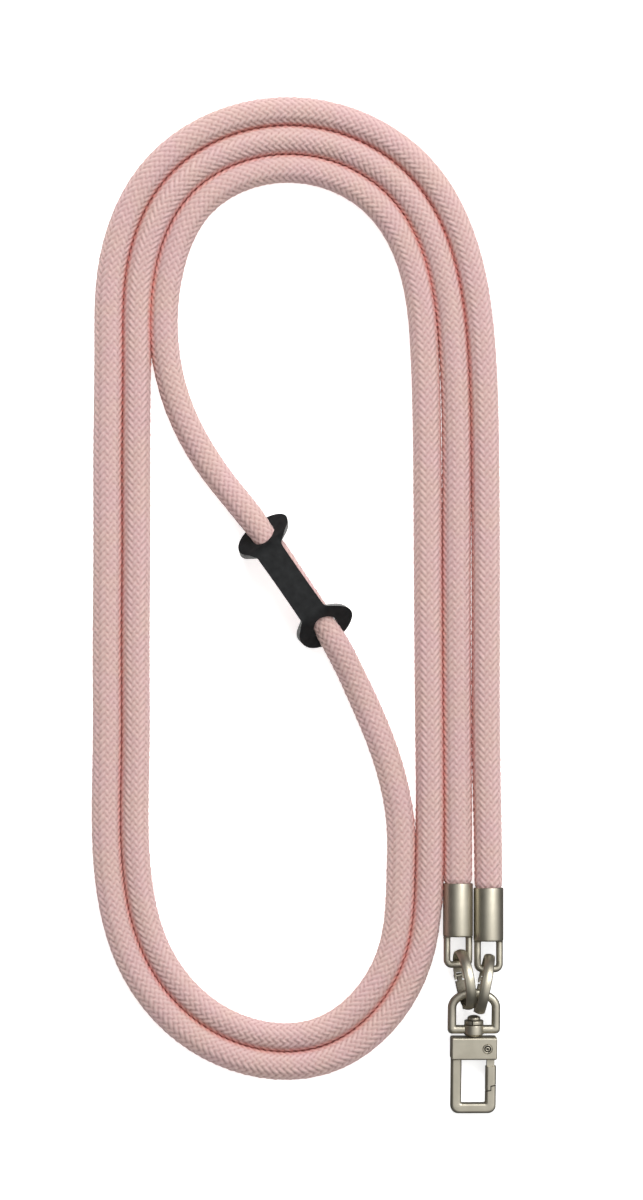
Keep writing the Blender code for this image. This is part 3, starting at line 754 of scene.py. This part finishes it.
def gridSolid(solid, grid, wrapRows=False, wrapColumns=True):  # adds a skin over rows of points
    rows, columns = len(grid), len(grid[0])
    points = [[solid.verts.new(point) for point in row] for row in grid]
    for i in range(rows if wrapRows else rows - 1):
        here, after = points[i], points[(i + 1) % rows]
        for j in range(columns if wrapColumns else columns - 1):
            k = (j + 1) % columns
            solid.faces.new((here[j], here[k], after[k], after[j]))
    if wrapColumns and not wrapRows:
        solid.faces.new(points[0][::-1])
        solid.faces.new(points[-1])


def turnedGrid(profile, steps=96, start=0.0, turn=360.0):  # (radius, height) points turned about Z
    whole = turn == 360
    angles = np.radians(start + turn * np.arange(steps if whole else steps + 1) / steps)
    if whole:
        return [[(r * math.cos(a), r * math.sin(a), z) for a in angles] for r, z in profile]
    return [[(r * math.cos(a), r * math.sin(a), z) for r, z in profile] for a in angles]


def roundedSection(low, high, edge, steps=5):  # closed rounded rectangle, anticlockwise
    (x0, y0), (x1, y1) = low, high
    found = arc((x1 - edge, y1 - edge), (edge, edge), 0, 90, steps)
    found += arc((x0 + edge, y1 - edge), (edge, edge), 90, 180, steps)
    found += arc((x0 + edge, y0 + edge), (edge, edge), 180, 270, steps)
    return found + arc((x1 - edge, y0 + edge), (edge, edge), 270, 360, steps)


def wireGrid(path, diameter, steps=24):  # round wire along a flat path in X and Z
    path = np.array(path)
    ahead = np.gradient(path, axis=0)
    ahead /= np.linalg.norm(ahead, axis=1, keepdims=True)
    angles = np.radians(360 * np.arange(steps) / steps)
    grid = []
    for (x, z), (dx, dz) in zip(path, ahead):
        around = []
        for a in angles:
            out, side = diameter / 2 * math.cos(a), diameter / 2 * math.sin(a)
            around.append((x - dz * out, side, z + dx * out))
        grid.append(around)
    return grid


def barLoop(outer, inner, thickness, edge):  # closed bar with rounded edges between two outlines
    outer, inner = np.array(outer), np.array(inner)
    width = np.linalg.norm(outer - inner, axis=1).min()
    section = roundedSection((-width / 2, -thickness / 2), (width / 2, thickness / 2), edge, 6)
    grid = []
    for far, near in zip(outer, inner):
        middle, reach = (far + near) / 2, (far - near) / width
        grid.append([(*(middle + across * reach), z) for across, z in section])
    solid = bmesh.new()
    gridSolid(solid, grid, wrapRows=True)
    bmesh.ops.recalc_face_normals(solid, faces=solid.faces)
    return solid


def finishPiece(name, solid, finish, matrix, node, body, flatFaces=False):
    bmesh.ops.remove_doubles(solid, verts=solid.verts, dist=0.001 * mm)
    bmesh.ops.recalc_face_normals(solid, faces=solid.faces)
    mesh = bpy.data.meshes.new(name)
    solid.to_mesh(mesh)
    solid.free()
    mesh.shade_smooth()
    mesh.set_sharp_from_angle(angle=math.radians(38))
    made = addObject(name, mesh, finish)
    made.matrix_basis = matrix
    if flatFaces:
        weighted = made.modifiers.new("even shading", "WEIGHTED_NORMAL")
        weighted.keep_sharp = True
    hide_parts(node)
    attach(made, body)
    return made


def carve(solid, cutters, edge=0.0, keep=False):  # rounds the edges, then cuts; keep takes what overlaps
    holder = addObject("blank", bpy.data.meshes.new("blank"))
    solid.to_mesh(holder.data)
    solid.free()
    if edge:
        rounded = holder.modifiers.new("rounded edges", "BEVEL")
        rounded.width = edge
        rounded.segments = 5
        rounded.use_clamp_overlap = False
        rounded.limit_method = "ANGLE"
        rounded.angle_limit = math.radians(40)
    helpers = []
    for cutter in cutters:
        helper = addObject("cutter", bpy.data.meshes.new("cutter"))
        cutter.to_mesh(helper.data)
        cutter.free()
        cut = holder.modifiers.new("cut", "BOOLEAN")
        cut.operation = "INTERSECT" if keep else "DIFFERENCE"
        cut.object = helper
        helpers.append(helper)
    bpy.context.view_layer.update()
    made = solidOf(holder)
    for helper in helpers:
        bpy.data.objects.remove(helper)
    return made


def boxSolid(low, high):
    solid = bmesh.new()
    bmesh.ops.create_cube(solid, size=1)
    for vertex in solid.verts:
        vertex.co = [low[i] if vertex.co[i] < 0 else high[i] for i in range(3)]
    return solid


def turnedSolid(profile, place=(0, 0, 0), alongY=False, steps=96):
    solid = bmesh.new()
    gridSolid(solid, turnedGrid(profile, steps))
    bmesh.ops.remove_doubles(solid, verts=solid.verts, dist=0.001 * mm)
    bmesh.ops.recalc_face_normals(solid, faces=solid.faces)
    matrix = Matrix.Rotation(math.radians(-90), 4, "X") if alongY else Matrix()
    bmesh.ops.transform(solid, matrix=Matrix.Translation(place) @ matrix, verts=solid.verts)
    return solid


def join(parts):
    whole = bmesh.new()
    for part in parts:
        mesh = bpy.data.meshes.new("part")
        part.to_mesh(mesh)
        part.free()
        whole.from_mesh(mesh)
        bpy.data.meshes.remove(mesh)
    return whole


def buildFerrule(side, finish):
    x, mouth = ferrule[side]
    outer, bore = ferrule["diameter"] / 2, cord["gripDiameter"] / 2 + ferrule["boreEase"]
    end, lip, edge = -ferrule["length"], (outer - bore) / 2, ferrule["edge"]
    profile = [(0, -ferrule["boreDepth"]), (bore, -ferrule["boreDepth"])]
    profile += arc((bore + lip, -lip), (lip, lip), 180, 0, 10)
    profile += arc((outer - edge, end + edge), (edge, edge), 0, -90, 6)
    profile += [(0, end)]
    solid = bmesh.new()
    gridSolid(solid, turnedGrid(profile, 128))
    leg = loop["width"] / 2 - loop["wire"] / 2
    low, turn = end - loop["reach"] + loop["wire"] / 2, loop["corner"]
    path = [(leg, end + loop["root"]), (leg, (end + low) / 2)]
    path += arc((leg - turn, low + turn), (turn, turn), 0, -90, 12)
    path += arc((turn - leg, low + turn), (turn, turn), 270, 180, 12)
    path += [(-leg, (end + low) / 2), (-leg, end + loop["root"])]
    gridSolid(solid, wireGrid(path, loop["wire"]))
    for sign in (-1, 1):  # solder runs up round the foot of each leg
        foot, spread = loop["wire"] / 2 + 0.02 * mm, ferrule["solderSpread"]
        fillet = [(foot, -0.5 * mm), *arc((foot + spread, -0.35 * mm), (spread, spread), 180, 90, 5)]
        skirt = [[(px + sign * leg, py, pz + end) for px, py, pz in row] for row in turnedGrid(fillet, 32)]
        gridSolid(solid, skirt)
    place = Matrix.Translation((x, mouth, ferrule["diameter"] / 2))
    matrix = place @ Matrix.Rotation(math.radians(-90), 4, "X")
    finishPiece(f"ferrule_{side}_cap", solid, finish, matrix, f"ferrule_{side}", "strap")


def ringMatrix(side):
    place = rings[side]
    lean, yaw = math.radians(place["lean"]), math.radians(place["yaw"])
    bar = ferrule[side][1] - ferrule["length"] - loop["reach"] + loop["wire"] / 2
    rise = ring["diameter"] / 2 - ferrule["diameter"] / 2
    reach = ring["diameter"] / 2 - ring["wall"] - ring["slack"] - loop["wire"] / 2
    y = bar - math.sqrt(reach ** 2 - rise ** 2)
    z = ring["diameter"] / 2 * math.cos(lean) + ring["width"] / 2 * abs(math.sin(lean))
    turn = Euler((0, math.radians(90) + lean, yaw)).to_matrix().to_4x4()
    return Matrix.Translation((place["x"], y, z)) @ turn


def crownedSection(width):  # the band's section: flat inside, crowned outside
    outer, wall, edge, fall = ring["diameter"] / 2, ring["wall"], ring["edge"], ring["crown"]
    side = outer - fall
    found = [(outer - fall * y * y, y * (width / 2 - edge)) for y in np.linspace(-1, 1, 9)]
    found += arc((side - edge, width / 2 - edge), (edge, edge), 0, 90, 5)[1:]
    found += arc((outer - wall + edge / 2, width / 2 - edge / 2), (edge / 2, edge / 2), 90, 180, 3)
    return found + [(x, -y) for x, y in found[:8:-1]]


def bandSolid(section, start, end, steps=90):
    solid = bmesh.new()
    gridSolid(solid, turnedGrid(section, steps, start, end - start))
    bmesh.ops.recalc_face_normals(solid, faces=solid.faces)
    return solid


def buildRing(side, finish, gateFinish):
    start, end, turn = ring["gateStart"], ring["gateEnd"], ring["tongueTurn"]
    outer, wall = ring["diameter"] / 2, ring["wall"]
    slit = math.degrees(ring["slit"] / outer)
    band = bandSolid(crownedSection(ring["width"]), end, 360 + start, 120)
    tongue = ring["tongueWidth"] / 2
    play = tongue + ring["tonguePlay"]
    across = roundedSection((outer - 2 * wall, -play), (outer + wall, play), 0.1 * mm)
    slots = []
    for first, last in ((end - 1, end + turn), (start - turn, start + 1)):
        slots.append(bandSolid(across, first, last, 12))
    band = carve(band, slots)
    pins = []
    middle = outer - wall / 2
    for angle in (end + turn / 2, start - turn / 2):
        pin = bmesh.new()
        radius, half = ring["pinDiameter"] / 2, ring["width"] / 2 + ring["pinShow"]
        dome = [(0, half), (radius * 0.7, half), (radius, half - 0.1 * mm), (radius, 0.1 * mm - half)]
        gridSolid(pin, turnedGrid([*dome, (radius * 0.7, -half), (0, -half)], 24))
        a = math.radians(angle)
        bmesh.ops.translate(pin, verts=pin.verts, vec=(middle * math.cos(a), middle * math.sin(a), 0))
        pins.append(pin)
    matrix = ringMatrix(side)
    finishPiece(f"ring_{side}_band", join([band, *pins]), finish, matrix, f"ring_{side}", "strap")
    inset = ring["gateInset"]
    arm = bandSolid(crownedSection(ring["width"] - inset), start + slit, end - slit, 36)
    across = roundedSection((outer - wall + inset, -tongue), (outer - inset, tongue), 0.2 * mm)
    tongues = []
    for first, last in ((end - slit - 2, end + turn * 0.8), (start - turn * 0.8, start + slit + 2)):
        tongues.append(bandSolid(across, first, last, 8))
    arm = join([arm, *tongues])
    finishPiece(f"ring_{side}_gate_arm", arm, gateFinish, matrix, f"ring_{side}_gate", "strap")


def hookMatrix():
    return Matrix.Translation(dRing["place"]) @ Matrix.Rotation(math.radians(dRing["incline"]), 4, "X")


def buildDRing(finish):
    half, bar = dRing["width"] / 2, dRing["bar"]
    low, side, turn = -bar / 2, dRing["length"] - bar / 2 - dRing["arch"], dRing["corner"]
    outer = arc((0, side), (half, dRing["arch"]), 0, 180, 48)
    outer += arc((turn - half, low + turn), (turn, turn), 180, 270, 6)
    outer += arc((half - turn, low + turn), (turn, turn), 270, 360, 6)
    innerHalf, innerArch = half - bar, dRing["arch"] - bar
    inner = arc((0, side), (innerHalf, innerArch), 0, 180, 48)
    inner += [(-innerHalf, bar / 2)] * 7 + [(innerHalf, bar / 2)] * 7
    wire = barLoop(outer, inner, bar, dRing["edge"])
    radius, taper = swivel["barrelDiameter"] / 2, swivel["barrelTaper"]
    above, below, edge = swivel["barrelAbove"], swivel["barrelBelow"], swivel["barrelEdge"]
    shank = swivel["shankDiameter"] / 2 + hook["clearance"]
    profile = [(shank, above), (radius - edge, above)]
    profile += arc((radius - edge, above - edge), (edge, edge), 90, 0, 4)
    profile += [(radius, taper - below), (radius - taper, -below), (shank, -below), (shank, above)]
    barrel = turnedSolid(profile, alongY=True)
    finishPiece("d_ring_wire", join([wire, barrel]), finish, hookMatrix(), "d_ring", "strap", True)


def buildSwivel(finish):
    low = swivel["barrelAbove"] + swivel["washerGap"]
    high = low + swivel["washerThickness"]
    outer, inner = swivel["washerDiameter"] / 2, swivel["shankDiameter"] / 2 + hook["clearance"]
    split = math.degrees(swivel["washerSplit"] / outer)
    section = roundedSection((inner, low), (outer, high), swivel["washerEdge"])
    washer = bmesh.new()
    gridSolid(washer, turnedGrid(section, 90, swivel["splitPlace"] + split / 2, 360 - split))
    matrix = hookMatrix() @ Matrix.Rotation(math.radians(-90), 4, "X")
    finishPiece("washer_split", washer, finish, matrix, "swivel_washer", "strap")
    base = swivel["barrelAbove"] + swivel["washerThickness"] + 2 * swivel["washerGap"]
    head, shank, rim = swivel["headDiameter"] / 2, swivel["shankDiameter"] / 2, swivel["headRim"]
    profile = arc((0, base + rim), (head, swivel["headHeight"] - rim), 90, 0, 16)
    end = -(swivel["barrelBelow"] + hook["gap"] + swivel["shankInBlock"])
    profile += [(head, base + 0.1 * mm), (head - 0.1 * mm, base), (shank, base), (shank, end), (0, end)]
    rivet = bmesh.new()
    gridSolid(rivet, turnedGrid(profile))
    finishPiece("swivel_rivet_head", rivet, finish, matrix, "swivel_rivet", "hook")


def hookLevels():
    top = -(swivel["barrelBelow"] + hook["gap"])
    return top, top - hook["blockLength"], -hook["end"]


def gatePivot():
    return hook["width"] / 2 - hook["pivotFromEdge"], hookLevels()[0] - hook["pivotFromTop"]


def jointLine(shift):  # stepped joint between gate and frame, from the outer side inwards
    tip, outer = hookLevels()[1] - hook["gateReach"], hook["width"] / 2
    inner = outer - hook["bar"]
    middle = (outer + inner) / 2
    steps = [(outer, 1.3, 0), (middle, 1.0, shift), (middle, 0.2, shift), (inner, 0.0, 0)]
    return [(x + aside, tip + share * hook["gateStep"] - shift) for x, share, aside in steps]


def frameLoop():  # the frame as a closed loop, before the gate's opening is cut from it
    under, end = hookLevels()[1:]
    half, corner, fillet = hook["width"] / 2, hook["corner"], hook["innerCorner"]
    inside, root, low = half - hook["bar"], under + hook["frameRoot"], end + hook["bar"]
    outer = [(half, root), (-half, root)]
    outer += arc((corner - half, end + corner), (corner, corner), 180, 270, 12)
    outer += arc((half - corner, end + corner), (corner, corner), 270, 360, 12)
    inner = [(inside, under + 0.3 * mm), (-inside, under + 0.3 * mm)]
    inner += arc((fillet - inside, low + fillet), (fillet, fillet), 180, 270, 12)
    inner += arc((inside - fillet, low + fillet), (fillet, fillet), 270, 360, 12)
    return barLoop(outer, inner, hook["thickness"], hook["edge"])


def gateCutter(shift, high):  # a thick plate over the right bar, from the joint up to a level
    steps = jointLine(shift)
    spread = 0.3 * mm
    (outer, first), (inner, last) = steps[0], steps[-1]
    outline = [(outer + spread, high), (outer + spread, first), *steps[1:-1]]
    outline += [(inner - spread, last), (inner - spread, high)]
    return plate([outline], 3 * hook["thickness"])


def buildHook(finish):
    top, under = hookLevels()[:2]
    half = hook["width"] / 2
    bars = carve(frameLoop(), [gateCutter(hook["gap"] / 2, under + hook["frameRoot"] + mm)])
    side, depth = half + hook["blockOverhang"], hook["blockThickness"] / 2
    pivotX, pivotY = gatePivot()
    slotHalf = hook["tabThickness"] / 2 + hook["gap"]
    slot = boxSolid(
        (pivotX - hook["tabRadius"] - hook["gap"], under - hook["gap"], -slotHalf),
        (side + hook["gap"], pivotY + hook["tabRadius"] + hook["gap"], slotHalf),
    )
    bore, flare = hook["pinHead"] / 2 + hook["clearance"], hook["pinSeatFlare"]
    seat = depth - hook["pinHeadThickness"] - hook["clearance"]
    profile = [(0, depth + mm), (bore + flare, depth + mm), (bore + flare, depth)]
    profile += [(bore, depth - flare), (bore, seat), (0, seat)]
    hole = turnedSolid(profile, (pivotX, pivotY, 0))
    block = carve(boxSolid((-side, under, -depth), (side, top, depth)), [slot, hole], hook["blockEdge"])
    finishPiece("hook_frame", join([block, bars]), finish, hookMatrix(), "hook_body", "hook", True)


def buildGateRivet(finish):
    depth, head, pin = hook["blockThickness"] / 2, hook["pinHead"] / 2, hook["pinDiameter"] / 2
    seat = depth - hook["pinHeadThickness"]
    radius, half = gateRivet["ringRadius"], gateRivet["halfWidth"]
    ringFoot, rimFoot = depth - gateRivet["ringHeight"], depth - gateRivet["rimHeight"]
    pitFloor, pitEdge = depth - gateRivet["pitDepth"], depth - gateRivet["pitEdgeDepth"]
    profile = [(0, pitFloor), (gateRivet["pitRadius"], pitEdge)]
    profile += arc((radius, ringFoot), (half, gateRivet["ringHeight"]), 180, 0, 6)
    floor = depth - gateRivet["grooveDepth"]
    profile += [(gateRivet["grooveInside"], floor), (gateRivet["grooveOutside"], floor)]
    profile += arc((head - half, rimFoot), (half, gateRivet["rimHeight"]), 180, 0, 6)
    profile += [(head, seat), (pin, seat), (pin, -depth), (0, -depth)]
    rivet = turnedSolid(profile, (*gatePivot(), 0))
    # faces below the rim, in the groove and pit, take the painted shade
    for face in rivet.faces:
        if face.calc_center_median().z < rimFoot:
            face.material_index = 1
    made = finishPiece("gate_rivet_head", rivet, finish, hookMatrix(), "gate_rivet", "hook")
    made.data.materials.append(recessShade())


def buildGate(finish):
    under = hookLevels()[1]
    pivotX, pivotY = gatePivot()
    outer, inner = hook["width"] / 2, hook["width"] / 2 - hook["bar"]
    shoulder = under - hook["tabShow"]
    arm = carve(frameLoop(), [gateCutter(-hook["gap"] / 2, shoulder)], keep=True)
    left, right = inner + hook["gap"], outer - 0.5 * mm
    root, radius = shoulder - hook["tabRoot"], hook["tabRadius"]
    outline = arc((pivotX, pivotY), (radius, radius), 0, 180, 24)
    outline += [(left, under), (left, root), (right, root), (right, under)]
    tab = carve(plate([outline], hook["tabThickness"]), [], hook["tabEdge"])
    finishPiece("gate_arm", join([arm, tab]), finish, hookMatrix(), "hook_gate", "gate", True)


def buildHardware():
    nickel = nickelPlate("satin nickel plate")
    # darker copy of the plate for the rings' gates: painted shade
    shadedNickel = nickelPlate("shaded nickel plate")
    for side in ("left", "right"):
        buildFerrule(side, nickel)
        buildRing(side, nickel, shadedNickel)
    buildDRing(nickel)
    buildSwivel(nickel)
    buildHook(nickel)
    buildGateRivet(nickel)
    buildGate(nickel)
    print("hardware built")


# Stage

stage = {
    "floorSize": 3.0,
    "floorGlow": 0.65,  # a light table, so that shadows stay faint
    "skyAxis": (0.45, 0.15, 0.88),  # towards the brightest part of the ceiling
    "skyBright": 1.35,
    "skyDim": 0.12,
}
softboxes = {  # one for the metal's highlights, one for everything matt
    "gloss_softbox": {"place": (1.3, 1.3, 2.3), "size": 1.6, "power": 60.0, "forGloss": True},
    "matt_softbox": {"place": (-0.15, 1.8, 1.8), "size": 1.4, "power": 49.0, "forGloss": False},
}


def buildStage():
    mesh = bpy.data.meshes.new("floor")
    solid = bmesh.new()
    bmesh.ops.create_grid(solid, x_segments=1, y_segments=1, size=stage["floorSize"] / 2)
    solid.to_mesh(mesh)
    solid.free()
    made, tree, shader = startMaterial("white acrylic light table")
    shader.inputs["Base Color"].default_value = linearColour("#F6F5F3")
    shader.inputs["Roughness"].default_value = 0.9
    shader.inputs["Emission Color"].default_value = linearColour("#FFFFFF")
    shader.inputs["Emission Strength"].default_value = stage["floorGlow"]
    floor = addObject("floor", mesh, made)
    floor.visible_glossy = False  # the metal mirrors a dim room, as in the photo
    floor.location = (0, 0, -0.05 * mm)
    world = bpy.data.worlds.new("soft studio")  # bright ceiling, darker walls
    world.use_nodes = True
    tree = world.node_tree
    place = addNode(tree, "TexCoord")
    toward = addNode(
        tree, "VectorMath", {"operation": "DOT_PRODUCT"}, links={"Vector": (place, "Generated")}
    )
    toward.inputs[1].default_value = stage["skyAxis"]
    sky = addNode(
        tree,
        "MapRange",
        values={"From Min": 0.45, "From Max": 1.0, "To Min": stage["skyDim"], "To Max": stage["skyBright"]},
        links={"Value": (toward, "Value")},
    )
    tree.links.new(sky.outputs["Result"], tree.nodes["Background"].inputs["Strength"])
    tree.nodes["Background"].inputs["Color"].default_value = linearColour("#FFFFFF")
    bpy.context.scene.world = world
    for name, box in softboxes.items():
        light = bpy.data.lights.new(name, "AREA")
        light.shape = "SQUARE"
        light.size = box["size"]
        light.energy = box["power"]
        lamp = addObject(name, light)
        lamp.location = box["place"]
        aim = Vector(camera["target"]) - lamp.location
        lamp.rotation_euler = aim.to_track_quat("-Z", "Y").to_euler()
        lamp.visible_glossy = box["forGloss"]
        lamp.visible_diffuse = not box["forGloss"]
    bpy.context.scene.view_settings.view_transform = "Standard"


buildCamera()
buildCord()
buildSlider()
buildHardware()
buildStage()
